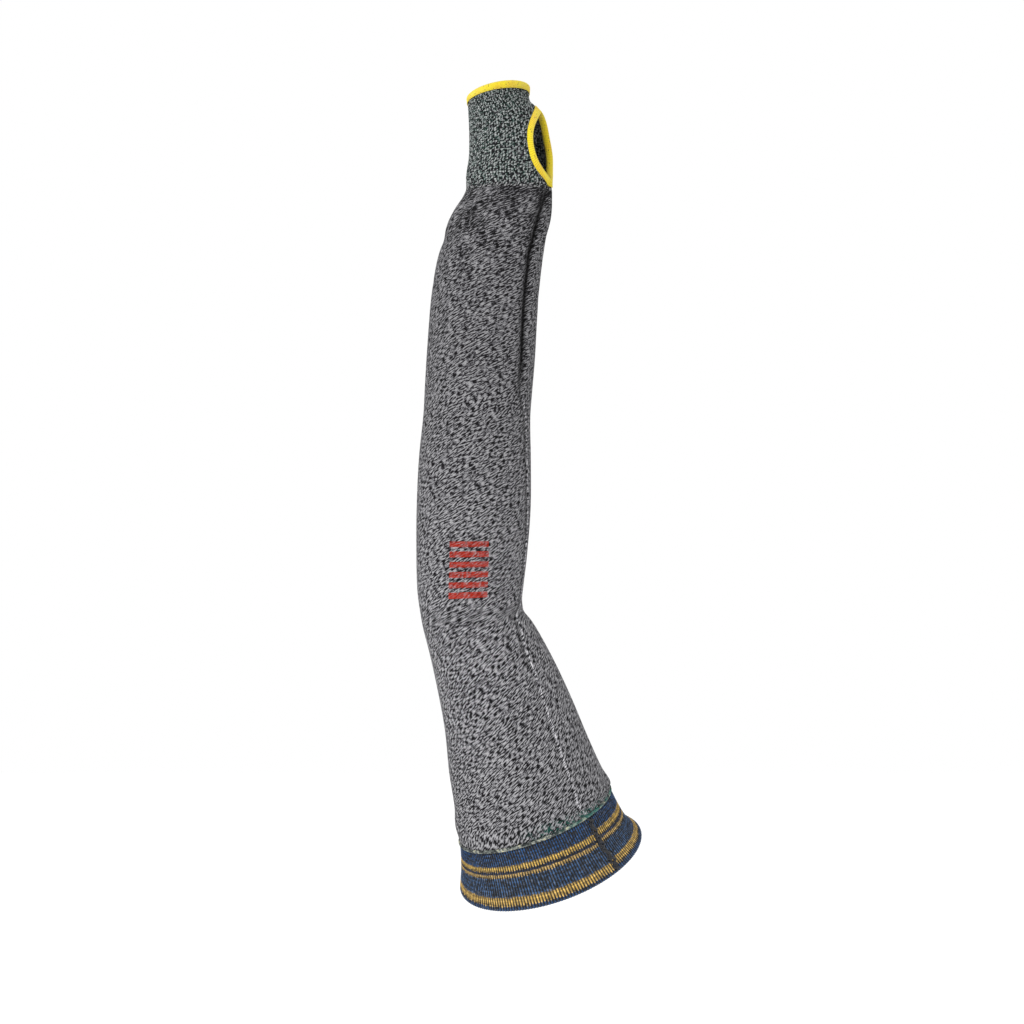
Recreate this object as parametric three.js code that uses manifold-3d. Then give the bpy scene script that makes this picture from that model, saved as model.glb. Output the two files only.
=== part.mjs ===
// A knitted cut resistant sleeve in the shape that it has on a slightly bent arm, in millimetres.
// +Z runs up to the hand opening, +X to the thumb side and +Y to the back of the arm.
// The origin is the centre of the arm band's lower opening.
import * as THREE from 'three';
import { mergeVertices } from 'three/addons/utils/BufferGeometryUtils.js';
import Module from 'manifold-3d';

const wasm = await Module();
wasm.setup();

// Lengths along the arm
const BAND_LENGTH = 36.5;
const BODY_LENGTH = 448;
const CUFF_LENGTH = 75.5;
const LINK_LENGTH = 2.4;
const BINDING_LENGTH = 4;
const THUMB_BINDING_LENGTH = 5.8;

// Widths across the arm and depths from front to back, both outside
const MOUTH_WIDTH = 133.7;
const MOUTH_DEPTH = 112;
const FOREARM_WIDTH = 77;
const FOREARM_DEPTH = 78;
const WRIST_WIDTH = 60;
const WRIST_DEPTH = 67;

// Thicknesses of the knit, and of the yarn that wraps its edges
const BODY_WALL = 1.6;
const CUFF_WALL = 2.2;
const BAND_WALL = 2.2;
const LINK_WALL = 2.6;
const BINDING_COVER = 0.9;
const CLEARANCE = 0.3;

// Thumb hole, cut in the cuff
const THUMB_HOLE_LENGTH = 46.5;
const THUMB_HOLE_WIDTH = 39.5;
const THUMB_HOLE_AT = 0.417;
const THUMB_HOLE_TURN = -8;
const THUMB_HOLE_FRONT = 0.65;
const THUMB_HOLE_POINT = 1.4;
const THUMB_HOLE_SKEW = -0.04;
const PLUG_OVERRUN = 4;

// Folds of the body: the long fold on the seam, the crease in the elbow and the gathers at the wrist
const FOLD_DEPTH = 4.5;
const FOLD_FRONT_WIDTH = 4.5;
const FOLD_BACK_WIDTH = 2.4;
const FOLD_START = 0.64;
const FOLD_FULL = 0.74;
const FOLD_FADE_START = 0.96;
const FOLD_LEFT_AT_WRIST = 0.3;
const FOLD_INTO_CUFF = 9;
const CREASE_DEPTH = 2.2;
const CREASE_WIDTH = 6;
const CREASE_AT = 0.33;
const CREASE_REACH = 70;
const GATHER_DEPTH = 0.9;
const GATHER_COUNT = 11;
const GATHER_FADE = 15;

// Facets: columns round the arm, crowded towards the seam, and rows along each piece
const COLUMNS = 48;
const CROWDING = 0.6;
const BODY_ROWS = 22;
const CUFF_ROWS = 16;
const BAND_ROWS = 4;
const HOLE_POINTS = 44;

const radians = THREE.MathUtils.degToRad;
const clamp = THREE.MathUtils.clamp;
const smoothstep = THREE.MathUtils.smoothstep;

// Sections of the three lengths. rise, side and back are shares of the piece's own length, counted from
// its lower end. wide and deep are shares of its named width and depth. lean raises the thumb side, tip
// lowers the front, and seam is where the seam lies, from the thumb side towards the front, in degrees.
const BAND_SECTIONS = [
  { rise: 0, side: 0, back: 0, wide: 1, deep: 1, lean: 16, tip: 25.5, seam: 43 },
  { rise: 0.36, side: -0.14, back: -0.25, wide: 0.905, deep: 0.945, lean: 16, tip: 18, seam: 45 },
  { rise: 0.97, side: -0.32, back: -0.6, wide: 0.83, deep: 0.893, lean: 19, tip: 15, seam: 48 },
];
const BODY_SECTIONS = [
  { rise: 0.017, side: -0.003, back: -0.008, wide: 1.457, deep: 1.31, lean: 15.5, tip: 11, seam: 54 },
  { rise: 0.042, side: -0.01, back: -0.018, wide: 1.377, deep: 1.27, lean: 14.4, tip: 10, seam: 52.5 },
  { rise: 0.093, side: -0.025, back: -0.031, wide: 1.29, deep: 1.23, lean: 14.6, tip: 9, seam: 51.5 },
  { rise: 0.161, side: -0.042, back: -0.046, wide: 1.166, deep: 1.17, lean: 14.3, tip: 8, seam: 51 },
  { rise: 0.219, side: -0.06, back: -0.058, wide: 1.075, deep: 1.12, lean: 13, tip: 6, seam: 48.5 },
  { rise: 0.269, side: -0.078, back: -0.066, wide: 0.992, deep: 1.08, lean: 11, tip: 5, seam: 43.5 },
  { rise: 0.306, side: -0.093, back: -0.073, wide: 0.929, deep: 1.05, lean: 8.5, tip: 3, seam: 29 },
  { rise: 0.326, side: -0.098, back: -0.075, wide: 0.915, deep: 1.04, lean: 5, tip: 2, seam: 15 },
  { rise: 0.353, side: -0.099, back: -0.078, wide: 0.945, deep: 1.03, lean: 2.2, tip: 1, seam: 14 },
  { rise: 0.4, side: -0.097, back: -0.08, wide: 0.984, deep: 1.02, lean: 1, tip: 0.5, seam: 15.5 },
  { rise: 0.474, side: -0.094, back: -0.082, wide: 1.014, deep: 1.01, lean: -0.5, tip: 0, seam: 19 },
  { rise: 0.549, side: -0.092, back: -0.082, wide: 0.997, deep: 1, lean: -1.5, tip: -1, seam: 22.5 },
  { rise: 0.616, side: -0.089, back: -0.08, wide: 0.952, deep: 0.987, lean: -3.2, tip: -1.5, seam: 25 },
  { rise: 0.651, side: -0.087, back: -0.079, wide: 0.955, deep: 0.981, lean: -3.4, tip: -1.7, seam: 35 },
  { rise: 0.707, side: -0.083, back: -0.078, wide: 0.964, deep: 0.974, lean: -3.7, tip: -2, seam: 39 },
  { rise: 0.783, side: -0.078, back: -0.073, wide: 0.957, deep: 0.962, lean: -4.8, tip: -2.5, seam: 40 },
  { rise: 0.837, side: -0.072, back: -0.069, wide: 0.94, deep: 0.949, lean: -4.9, tip: -3, seam: 40 },
  { rise: 0.889, side: -0.062, back: -0.064, wide: 0.909, deep: 0.923, lean: -3.4, tip: -3, seam: 38.5 },
  { rise: 0.927, side: -0.051, back: -0.06, wide: 0.885, deep: 0.9, lean: -2.3, tip: -3, seam: 36.5 },
];
const CUFF_SECTIONS = [
  { rise: 0.05, side: 0.002, back: 0.013, wide: 0.98, deep: 1, lean: 0.7, tip: -1, seam: 22 },
  { rise: 0.164, side: 0.001, back: 0.02, wide: 0.98, deep: 0.99, lean: 1.3, tip: -2, seam: 22 },
  { rise: 0.344, side: 0.015, back: 0.046, wide: 0.957, deep: 1.015, lean: 2.7, tip: -3, seam: 22 },
  { rise: 0.534, side: -0.002, back: 0.073, wide: 0.905, deep: 1.045, lean: 3.8, tip: -3.5, seam: 22 },
  { rise: 0.67, side: -0.026, back: 0.091, wide: 0.855, deep: 1.065, lean: 4.8, tip: -3.5, seam: 22 },
  { rise: 0.745, side: -0.056, back: 0.102, wide: 0.79, deep: 1.08, lean: 6, tip: -3.5, seam: 22 },
  { rise: 0.79, side: -0.083, back: 0.109, wide: 0.73, deep: 1.085, lean: 7.5, tip: -3, seam: 22 },
  { rise: 0.85, side: -0.093, back: 0.119, wide: 0.712, deep: 1.09, lean: 8.8, tip: -2.5, seam: 22 },
  { rise: 0.93, side: -0.095, back: 0.132, wide: 0.706, deep: 1.1, lean: 10, tip: -2.5, seam: 22 },
];

// The wrist end of the body is also the cuff's first section, so it follows the wrist's own sizes.
const WRIST_SECTION = { rise: 0.961, side: -0.0405, back: -0.056, lean: 0, tip: -1, seam: 27 };

function placeSection(row, start, length, width, depth) {
  return {
    x: start.x + row.side * length,
    y: start.y + row.back * length,
    z: start.z + row.rise * length,
    wide: row.wide * width,
    deep: row.deep * depth,
    lean: radians(row.lean),
    tip: radians(row.tip),
    seam: radians(row.seam),
  };
}

// One list of sections from the mouth to the hand opening, each with its distance along the arm.
function placeAllSections() {
  const mouth = { x: 0, y: 0, z: 0 };
  const band = BAND_SECTIONS.map((row) => placeSection(row, mouth, BAND_LENGTH, MOUTH_WIDTH, MOUTH_DEPTH));
  const bandTop = band[band.length - 1];
  const body = BODY_SECTIONS.map((row) => (
    placeSection(row, bandTop, BODY_LENGTH, FOREARM_WIDTH, FOREARM_DEPTH)
  ));
  const wristRow = { ...WRIST_SECTION, wide: 1, deep: 1 };
  const wrist = placeSection(wristRow, bandTop, BODY_LENGTH, WRIST_WIDTH, WRIST_DEPTH);
  const cuff = CUFF_SECTIONS.map((row) => placeSection(row, wrist, CUFF_LENGTH, WRIST_WIDTH, WRIST_DEPTH));
  const sections = [...band, ...body, wrist, ...cuff];
  sections[0].along = 0;
  for (let index = 1; index < sections.length; index += 1) {
    const before = sections[index - 1];
    const here = sections[index];
    here.along = before.along + Math.hypot(here.x - before.x, here.y - before.y, here.z - before.z);
  }
  return { sections, bandEnd: bandTop.along, bodyEnd: wrist.along, sleeveEnd: sections.at(-1).along };
}

const { sections, bandEnd, bodyEnd, sleeveEnd } = placeAllSections();
const bodyRun = bodyEnd - bandEnd;
const cuffRun = sleeveEnd - bodyEnd;

// How fast a value changes at a section, from its neighbours on both sides.
function slopeAt(index, key) {
  const before = sections[Math.max(index - 1, 0)];
  const after = sections[Math.min(index + 1, sections.length - 1)];
  return (after[key] - before[key]) / (after.along - before.along);
}

function sectionValue(along, key) {
  let index = 0;
  while (index < sections.length - 2 && along > sections[index + 1].along) {
    index += 1;
  }
  const from = sections[index];
  const to = sections[index + 1];
  const span = to.along - from.along;
  const share = (along - from.along) / span;
  const rest = 1 - share;
  const curve = (1 + 2 * share) * rest * rest * from[key] + (3 - 2 * share) * share * share * to[key];
  const bend = share * rest * rest * slopeAt(index, key) - share * share * rest * slopeAt(index + 1, key);
  return curve + bend * span;
}

// How far the long fold on the seam sinks in. across is the distance from the seam, front side positive.
function foldDepth(bodyShare, across) {
  const growth = smoothstep(bodyShare, FOLD_START, FOLD_FULL);
  const wristFade = 1 - (1 - FOLD_LEFT_AT_WRIST) * smoothstep(bodyShare, FOLD_FADE_START, 1);
  const width = across > 0 ? FOLD_FRONT_WIDTH : FOLD_BACK_WIDTH;
  return FOLD_DEPTH * growth * wristFade * Math.exp(-((across / width) ** 2));
}

// How far the crease in the bend of the elbow sinks in, deepest on the thumb side.
function creaseDepth(along, angle) {
  const fromCrease = (along - bandEnd - CREASE_AT * bodyRun) / CREASE_WIDTH;
  const turn = clamp(angle / radians(CREASE_REACH), -1, 1);
  return CREASE_DEPTH * Math.exp(-(fromCrease ** 2)) * Math.cos(turn * Math.PI / 2) ** 2;
}

// Small gathers run down the body from where the cuff draws it in.
function gatherDepth(along, angle) {
  const below = (bodyEnd - along) / GATHER_FADE;
  const fade = below * Math.exp(1 - below);
  return GATHER_DEPTH * fade * (0.5 + 0.5 * Math.cos(GATHER_COUNT * angle));
}

// All the dents of the body. Only the long fold reaches a little way into the cuff.
function dentDepth(along, angle, across) {
  const cuffFade = 1 - smoothstep(along, bodyEnd, bodyEnd + FOLD_INTO_CUFF);
  const fold = cuffFade * foldDepth((along - bandEnd) / bodyRun, across);
  if (along >= bodyEnd) {
    return fold;
  }
  return fold + creaseDepth(along, angle) + gatherDepth(along, angle);
}

// A point of the sleeve: along is the distance from the mouth, angle is counted from the seam towards the
// front, and outward is the height over the knit's outer face.
function sleevePoint(along, angle, outward) {
  const wide = sectionValue(along, 'wide');
  const deep = sectionValue(along, 'deep');
  const lean = sectionValue(along, 'lean');
  const tip = sectionValue(along, 'tip');
  const turn = sectionValue(along, 'seam') + angle;
  const reach = outward - dentDepth(along, angle, angle * wide / 2);
  const sideways = Math.cos(turn) * (wide / 2 + reach);
  const frontways = Math.sin(turn) * (deep / 2 + reach);
  return new THREE.Vector3(
    sectionValue(along, 'x') + sideways * Math.cos(lean),
    sectionValue(along, 'y') - frontways * Math.cos(tip),
    sectionValue(along, 'z') + sideways * Math.sin(lean) - frontways * Math.sin(tip),
  );
}

// The column's angle from the seam, between half a turn either way, with the columns crowded at the seam.
function columnAngle(column) {
  const turn = 2 * Math.PI * (column / COLUMNS - 0.5);
  return turn - CROWDING * Math.sin(turn);
}

// A closed surface from a grid whose rows and columns both join up at their ends.
function closedGrid(points, rows, columns) {
  const corners = [];
  for (let row = 0; row < rows; row += 1) {
    const next = (row + 1) % rows;
    for (let column = 0; column < columns; column += 1) {
      const beside = (column + 1) % columns;
      const here = row * columns + column;
      const right = row * columns + beside;
      const above = next * columns + column;
      const across = next * columns + beside;
      corners.push(here, above, across, here, across, right);
    }
  }
  const geometry = new THREE.BufferGeometry().setFromPoints(points);
  geometry.setIndex(corners);
  return geometry;
}

// A ring round the arm whose section is a closed outline of [along, outward] points.
function ringGeometry(outline) {
  const points = outline.flatMap(([along, outward]) => (
    Array.from({ length: COLUMNS }, (_, column) => sleevePoint(along, columnAngle(column), outward))
  ));
  return closedGrid(points, outline.length, COLUMNS);
}

// The outline of a plain wall: up its outer face, then down its inner face.
function wallOutline(start, end, rows, outside, inside) {
  const steps = Array.from({ length: rows + 1 }, (_, row) => start + (end - start) * row / rows);
  const outer = steps.map((along) => [along, outside]);
  const inner = steps.map((along) => [along, inside]).reverse();
  return [...outer, ...inner];
}

function makeMesh(name, geometry, color, roughness) {
  geometry.computeVertexNormals();
  const mesh = new THREE.Mesh(geometry, new THREE.MeshStandardMaterial({ color, roughness, metalness: 0 }));
  mesh.name = name;
  return mesh;
}

function toSolid(geometry) {
  geometry.deleteAttribute('normal');
  const merged = mergeVertices(geometry, 1e-5);
  return new wasm.Manifold(new wasm.Mesh({
    numProp: 3,
    vertProperties: new Float32Array(merged.attributes.position.array),
    triVerts: new Uint32Array(merged.index.array),
  }));
}

function toGeometry(solid) {
  const mesh = solid.getMesh();
  const geometry = new THREE.BufferGeometry();
  geometry.setAttribute('position', new THREE.BufferAttribute(mesh.vertProperties, 3));
  geometry.setIndex(new THREE.BufferAttribute(mesh.triVerts, 1));
  return geometry;
}

// The thumb hole's edge at a turn round the hole, laid flat: x across the arm and y along it. It reaches
// further to the front than to the back of its own axis, and narrows to a point at both ends.
function holeEdge(turn) {
  const side = Math.sin(turn) > 0 ? THUMB_HOLE_FRONT : THUMB_HOLE_FRONT - 1;
  const bulge = Math.abs(Math.sin(turn)) ** THUMB_HOLE_POINT;
  return new THREE.Vector2(
    THUMB_HOLE_WIDTH * side * bulge * (1 + THUMB_HOLE_SKEW * Math.cos(turn)),
    THUMB_HOLE_LENGTH * Math.cos(turn) / 2,
  );
}

const holeCentre = bodyEnd + THUMB_HOLE_AT * cuffRun;

// Turns a distance round the cuff into an angle, by the cuff's own curve where the hole lies.
function holeAngle(across) {
  const turn = sectionValue(holeCentre, 'seam');
  const sideReach = sectionValue(holeCentre, 'wide') / 2 * Math.sin(turn);
  const frontReach = sectionValue(holeCentre, 'deep') / 2 * Math.cos(turn);
  return across / Math.hypot(sideReach, frontReach);
}

// A point of the sleeve beside the thumb hole's edge: grow is the distance from the edge, away from the hole.
function holePoint(turn, grow, outward) {
  const step = 0.01;
  const along = holeEdge(turn + step).sub(holeEdge(turn - step)).normalize();
  const edge = holeEdge(turn);
  const across = edge.x - along.y * grow;
  const up = edge.y + along.x * grow;
  return sleevePoint(holeCentre + up, radians(THUMB_HOLE_TURN) + holeAngle(across), outward);
}

// A closed plug of the thumb hole's shape, which runs well past both faces of the cuff's wall.
function holePlug() {
  const outside = PLUG_OVERRUN;
  const inside = -CUFF_WALL - PLUG_OVERRUN;
  const points = [];
  const corners = [];
  for (const outward of [outside, inside]) {
    for (let index = 0; index < HOLE_POINTS; index += 1) {
      points.push(holePoint(2 * Math.PI * index / HOLE_POINTS, 0, outward));
    }
  }
  const middle = radians(THUMB_HOLE_TURN) + holeAngle(THUMB_HOLE_WIDTH * (THUMB_HOLE_FRONT - 0.5));
  const outerMiddle = points.push(sleevePoint(holeCentre, middle, outside)) - 1;
  const innerMiddle = points.push(sleevePoint(holeCentre, middle, inside)) - 1;
  for (let index = 0; index < HOLE_POINTS; index += 1) {
    const next = (index + 1) % HOLE_POINTS;
    corners.push(index, next, outerMiddle);
    corners.push(HOLE_POINTS + index, innerMiddle, HOLE_POINTS + next);
    corners.push(index, HOLE_POINTS + next, next, index, HOLE_POINTS + index, HOLE_POINTS + next);
  }
  const geometry = new THREE.BufferGeometry().setFromPoints(points);
  geometry.setIndex(corners);
  return toSolid(geometry);
}

// The yarn that wraps an edge: a closed outline of [reach, outward] points, open towards the fabric.
// reach is the distance from the fabric's edge, positive on the fabric, and the yarn lies on both faces.
function bindingOutline(onFabric, wall) {
  const outside = CLEARANCE + BINDING_COVER;
  const inside = -wall - CLEARANCE - BINDING_COVER;
  const tip = -CLEARANCE - BINDING_COVER;
  return [
    [onFabric, outside],
    [tip + BINDING_COVER / 2, outside],
    [tip, outside - BINDING_COVER / 2],
    [tip, inside + BINDING_COVER / 2],
    [tip + BINDING_COVER / 2, inside],
    [onFabric, inside],
    [onFabric, -wall - CLEARANCE],
    [-CLEARANCE, -wall - CLEARANCE],
    [-CLEARANCE, CLEARANCE],
    [onFabric, CLEARANCE],
  ];
}

const cuffTop = sleeveEnd - BINDING_COVER - CLEARANCE;
const underWristBinding = BINDING_LENGTH - BINDING_COVER - CLEARANCE;
const underThumbBinding = THUMB_BINDING_LENGTH - BINDING_COVER - CLEARANCE;

function makeArmBand() {
  const top = bandEnd - LINK_LENGTH - CLEARANCE;
  const outline = wallOutline(0, top, BAND_ROWS, 0, -BAND_WALL);
  return makeMesh('arm_band', ringGeometry(outline), 0x344358, 0.85);
}

function makeBandLink() {
  const proud = (LINK_WALL - BAND_WALL) / 2;
  const outline = wallOutline(bandEnd - LINK_LENGTH, bandEnd - CLEARANCE, 1, proud, proud - LINK_WALL);
  return makeMesh('band_link', ringGeometry(outline), 0xa9b8a6, 0.9);
}

function makeBody() {
  const outline = wallOutline(bandEnd, bodyEnd - CLEARANCE, BODY_ROWS, 0, -BODY_WALL);
  return makeMesh('sleeve_body', ringGeometry(outline), 0x6f6f72, 0.95);
}

function makeCuff() {
  const steps = wallOutline(bodyEnd, cuffTop - underWristBinding, CUFF_ROWS, 0, -CUFF_WALL);
  steps.splice(CUFF_ROWS + 1, 0, [cuffTop, 0], [cuffTop, -CUFF_WALL]);
  const wall = toSolid(ringGeometry(steps));
  return makeMesh('wrist_cuff', toGeometry(wall.subtract(holePlug())), 0x5c6564, 0.95);
}

function makeWristBinding() {
  const outline = bindingOutline(underWristBinding, CUFF_WALL).map(([reach, outward]) => (
    [cuffTop - reach, outward]
  ));
  return makeMesh('wrist_binding', ringGeometry(outline), 0xf2d21e, 0.8);
}

function makeThumbBinding() {
  const outline = bindingOutline(underThumbBinding, CUFF_WALL);
  const points = outline.flatMap(([reach, outward]) => (
    Array.from({ length: HOLE_POINTS }, (_, index) => (
      holePoint(-2 * Math.PI * index / HOLE_POINTS, reach, outward)
    ))
  ));
  return makeMesh('thumb_binding', closedGrid(points, outline.length, HOLE_POINTS), 0xf2d21e, 0.8);
}

const sleeve = new THREE.Group();
sleeve.add(makeArmBand(), makeBandLink(), makeBody(), makeCuff(), makeWristBinding(), makeThumbBinding());

export default sleeve;
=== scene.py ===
"""Looks of a knitted cut resistant sleeve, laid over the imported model. Shapes are in millimetres."""
import math

import bpy
import numpy as np
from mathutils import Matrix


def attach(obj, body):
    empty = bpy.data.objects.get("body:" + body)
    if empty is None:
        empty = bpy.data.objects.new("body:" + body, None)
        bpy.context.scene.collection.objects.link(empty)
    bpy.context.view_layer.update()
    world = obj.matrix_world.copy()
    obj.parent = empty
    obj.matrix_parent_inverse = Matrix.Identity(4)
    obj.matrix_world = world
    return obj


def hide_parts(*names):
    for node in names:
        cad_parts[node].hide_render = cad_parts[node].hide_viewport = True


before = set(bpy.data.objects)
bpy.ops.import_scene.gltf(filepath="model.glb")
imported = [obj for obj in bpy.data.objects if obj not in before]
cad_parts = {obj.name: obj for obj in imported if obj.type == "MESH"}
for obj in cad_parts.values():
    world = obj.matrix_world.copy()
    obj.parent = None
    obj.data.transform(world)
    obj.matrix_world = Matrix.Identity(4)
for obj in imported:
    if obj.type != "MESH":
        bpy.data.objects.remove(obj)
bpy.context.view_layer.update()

MM = 0.001

# Lengths along the arm
BAND_LENGTH = 36.5
BODY_LENGTH = 448
CUFF_LENGTH = 75.5
LINK_LENGTH = 2.4
BINDING_LENGTH = 4
THUMB_BINDING_LENGTH = 5.8

# Widths across the arm and depths from front to back, both outside
MOUTH_WIDTH, MOUTH_DEPTH = 133.7, 112
FOREARM_WIDTH, FOREARM_DEPTH = 77, 78
WRIST_WIDTH, WRIST_DEPTH = 60, 67

# Thicknesses of the knit, and of the yarn that wraps its edges
BODY_WALL = 1.6
CUFF_WALL = 2.2
BAND_WALL = 2.2
BINDING_COVER = 0.9
CLEARANCE = 0.3
PIECE_GAP = 0.05

# Thumb hole, cut in the cuff
THUMB_HOLE_LENGTH = 46.5
THUMB_HOLE_WIDTH = 39.5
THUMB_HOLE_AT = 0.417
THUMB_HOLE_TURN = -8
THUMB_HOLE_FRONT = 0.65
THUMB_HOLE_POINT = 1.4
THUMB_HOLE_SKEW = -0.04

# Long fold on the seam: how deep it sinks, how far it lies behind the seam's own line, how far its back lip
# rises and hangs over it, how dark its shade is, and how far that reaches to either side
FOLD_DEPTH = 3.2
FOLD_FRONT_WIDTH = 5.5
FOLD_BACK_WIDTH = 1.1
FOLD_BEHIND = 2.8
FOLD_START, FOLD_FULL = 0.64, 0.74
FOLD_FADE_START = 0.96
FOLD_LEFT_AT_WRIST = 0.6
FOLD_INTO_CUFF = 9
LIP_RISE = 0.8
LIP_HANG = 1.2
LIP_WIDTH = 2.4
FOLD_SHADE = 0.93
FOLD_FRONT_SHADE, FOLD_BACK_SHADE = 5.5, 1.7

# Ridge of the seam where it doesn't fold, the pale line on it and the soft shade in front of it
SEAM_RISE = 0.5
SEAM_WIDTH = 0.9
SEAM_LINE_WIDTH = 1.0
SEAM_SHADE_AT, SEAM_SHADE_WIDTH = 3.0, 2.2

# Crease in the bend of the elbow, and gathers under the cuff, with how unevenly they stand
CREASE_DEPTH = 2.6
CREASE_WIDTH = 5
CREASE_AT = 0.33
CREASE_REACH = 70
GATHER_DEPTH = 1.9
GATHER_COUNT = 11
GATHER_FADE = 15
GATHER_WANDER = 0.35

# Knit sizes: the body's stitch width and row height, then stitches round the arm and row heights, and from
# one wrap of a binding's yarn to the next
BODY_WALE, BODY_COURSE = 1.8, 1.5
CUFF_WALES, CUFF_COURSE = 88, 1.5
BAND_WALES, BAND_COURSE = 190, 1.15
WRAP_PITCH = 1.15

# How far the legs of a stitch climb to its sides, in rows
BODY_SLANT, CUFF_SLANT = 1.1, 0.8

# Dark dashes in the yarn: their length, thickness and climb in degrees, and a cuff stitch's width for them
BODY_DASHES = (3.6, 0.8, 30)
CUFF_DASHES = (2.1, 1.05, 25)
CUFF_WALE = 2.2

# How strongly the dashes and each stitch leg's own chance change the yarn's tone, and what is added to it
BODY_DASH_TONE, BODY_CHANCE_TONE = 3.1, 0.35
BODY_TONE_START = (-1.29, -1.21)
CUFF_DASH_TONE, CUFF_CHANCE_TONE = 3.8, 0.8
CUFF_TONE_START = -1.83

# Greys of painted shade for each yarn, from its gaps to its tops
BODY_GAP_SHADE = (0.42, 1.04)
CUFF_GAP_SHADE = (0.2, 1.12)
BAND_GAP_SHADE = (0.15, 1.06)
BINDING_GROOVE_SHADE = (0.5, 0.83)

# Rows of the body over which the pale seam clears, its shade deepens, and the knit darkens up the forearm
SEAM_CLEAR_ROWS = (40.0, 110.0)
SEAM_SHADE_ROWS = (60.0, 130.0)
FOREARM_ROWS = (130.0, 250.0)
ELBOW_LEVEL, FOREARM_LEVEL = 0.825, 0.6

# Green flecks at the body's lower edge: the rows that they fade out over, and the stitches from the seam
# that they grow over, from the front and from the back
TINT_ROWS = (1.0, 5.5)
TINT_FRONT, TINT_BACK = (28.0, 16.0), (-18.0, -7.0)

# How far the band's stripes miss each other at its seam, as a share of the band's length each way
STRIPE_STEP = 0.02

# From one row of dark loops in the band to the next
LOOP_PITCH = 2.5

# Depths of the ribs, with the points that each rib takes round the arm, and the points of one wrap of yarn
CUFF_RIB, CUFF_RIB_POINTS = 0.4, 6
BAND_RIB, BAND_RIB_POINTS = 0.5, 4
WRAP_POINTS = 5

# Grooves between the wraps: their depth, and how far they slant at each point over the roll, in wraps
WRAP_DEPTH = 0.16
WRAP_SLANT = 0.05

# How far a binding's roll is rounded, as a share of its half width, how thick its edges are, as a share of
# its cover, the points of the slot in it, and how much further the wrist's one reaches down
ROLL_ROUND = 0.7
ROLL_EDGE = 0.5
SLOT_POINTS = 4
WRIST_BINDING_MORE = 0.5

# The thumb hole's edge all round, as a share of its length and width together
HOLE_EDGE_SHARE = 1.55

# Rows of each mesh on its outer and inner face, columns round the arm, and the steps over a binding's roll
BODY_ROWS, BODY_INNER_ROWS, BODY_COLUMNS = 230, 44, 360
BODY_CROWDING = 0.55
CUFF_ROWS, CUFF_INNER_ROWS = 58, 12
BAND_ROWS, BAND_INNER_ROWS = 34, 8
LINK_ROWS, LINK_INNER_ROWS, LINK_COLUMNS = 4, 3, 240
ROLL_STEPS = 11

# Linking stitches round the band: their number, the share of them that lies hidden, their yarn's radius,
# how many stitches' room each slants over, how much of the row's height it spans and how much of that every
# second one does, and how high its ends lie and how much higher its middle
LINK_STITCHES = 150
LINK_HIDDEN = 0.16
LINK_YARN_RADIUS = 0.5
LINK_SLANT = 1.25
LINK_REACH, LINK_SHORT = 0.62, 0.8
LINK_FOOT, LINK_ARCH = 0.15, 0.35

# Zigzag of the band's seam: its turns, its least and greatest reach to a side, its yarn's radius, how
# uneven its turns are, where it starts and how much less than the band it runs, and how high its threads lie
ZIGZAG_TURNS = 13
ZIGZAG_REACH = (0.8, 3.3)
ZIGZAG_YARN_RADIUS = 0.75
ZIGZAG_UNEVEN = 0.45
ZIGZAG_START, ZIGZAG_SHORT = 0.8, 1.0
ZIGZAG_HEIGHT, ZIGZAG_STACK = 0.5, 0.1

# A block of plain printed bars on the forearm: its middle, its size in stitches and rows, the number of
# bars, the share of each that is left bare, and their colour
BARS_WALE, BARS_COURSE = 28.7, 150
BARS_WALES, BARS_COURSES = 15, 27
BARS = 6
BARS_GAP = 0.42
BARS_RED = (196, 46, 22)

# Yarn colours as the screen shows them, 0 to 255. Each list goes from its darkest tone to its lightest.
BODY_TONES = [
    (0.08, (8, 8, 10)), (0.28, (42, 41, 45)), (0.43, (102, 101, 106)), (0.56, (148, 147, 151)),
    (0.95, (194, 193, 196)),
]
CUFF_TONES = [
    (0.16, (8, 12, 13)), (0.34, (42, 50, 50)), (0.49, (98, 108, 107)), (0.66, (156, 165, 164)),
    (0.92, (200, 205, 203)),
]
CUFF_PLAIN_TONES = [(0.12, (16, 16, 18)), (0.5, (104, 103, 107)), (0.92, (196, 195, 197))]
LINK_TONES = [
    (0.42, (28, 34, 34)), (0.5, (92, 98, 94)), (0.58, (148, 152, 144)), (0.7, (190, 184, 150)),
]
CUFF_GREEN, CUFF_MAUVE = (62, 112, 98), (116, 100, 114)
LINK_GREEN, LINK_GREEN_ON_BODY = (34, 108, 98), (30, 104, 92)
BINDING_YELLOW, BINDING_GOLD, BINDING_THREAD = (248, 228, 16), (242, 200, 40), (214, 170, 20)
BINDING_PRICK = (58, 48, 20)
SEAM_DARK, SEAM_LIGHT = (6, 7, 11), (26, 27, 34)

# The band's stripes from the mouth up, each from its share of the band's length, and how strongly the
# painted shade in the gaps between its ribs shows there, as a grey
BAND_STRIPES = [
    (0.0, (24, 70, 118)), (0.1, (206, 168, 84)), (0.225, (48, 84, 126)), (0.53, (196, 162, 94)),
    (0.597, (24, 46, 84)), (0.655, (208, 170, 80)), (0.76, (14, 72, 126)),
]
BAND_SHADE_LEVELS = [
    (0.0, 150), (0.04, 255), (0.1, 175), (0.21, 245), (0.52, 150), (0.58, 255), (0.645, 175), (0.75, 250),
]
# The first is the dark colour of the painted shade in the gaps between the band's ribs; the others are yarn
# colours
BAND_SHADE_COLOUR, BAND_PALE, BAND_TAN = (6, 16, 38), (128, 138, 144), (150, 136, 104)

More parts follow.
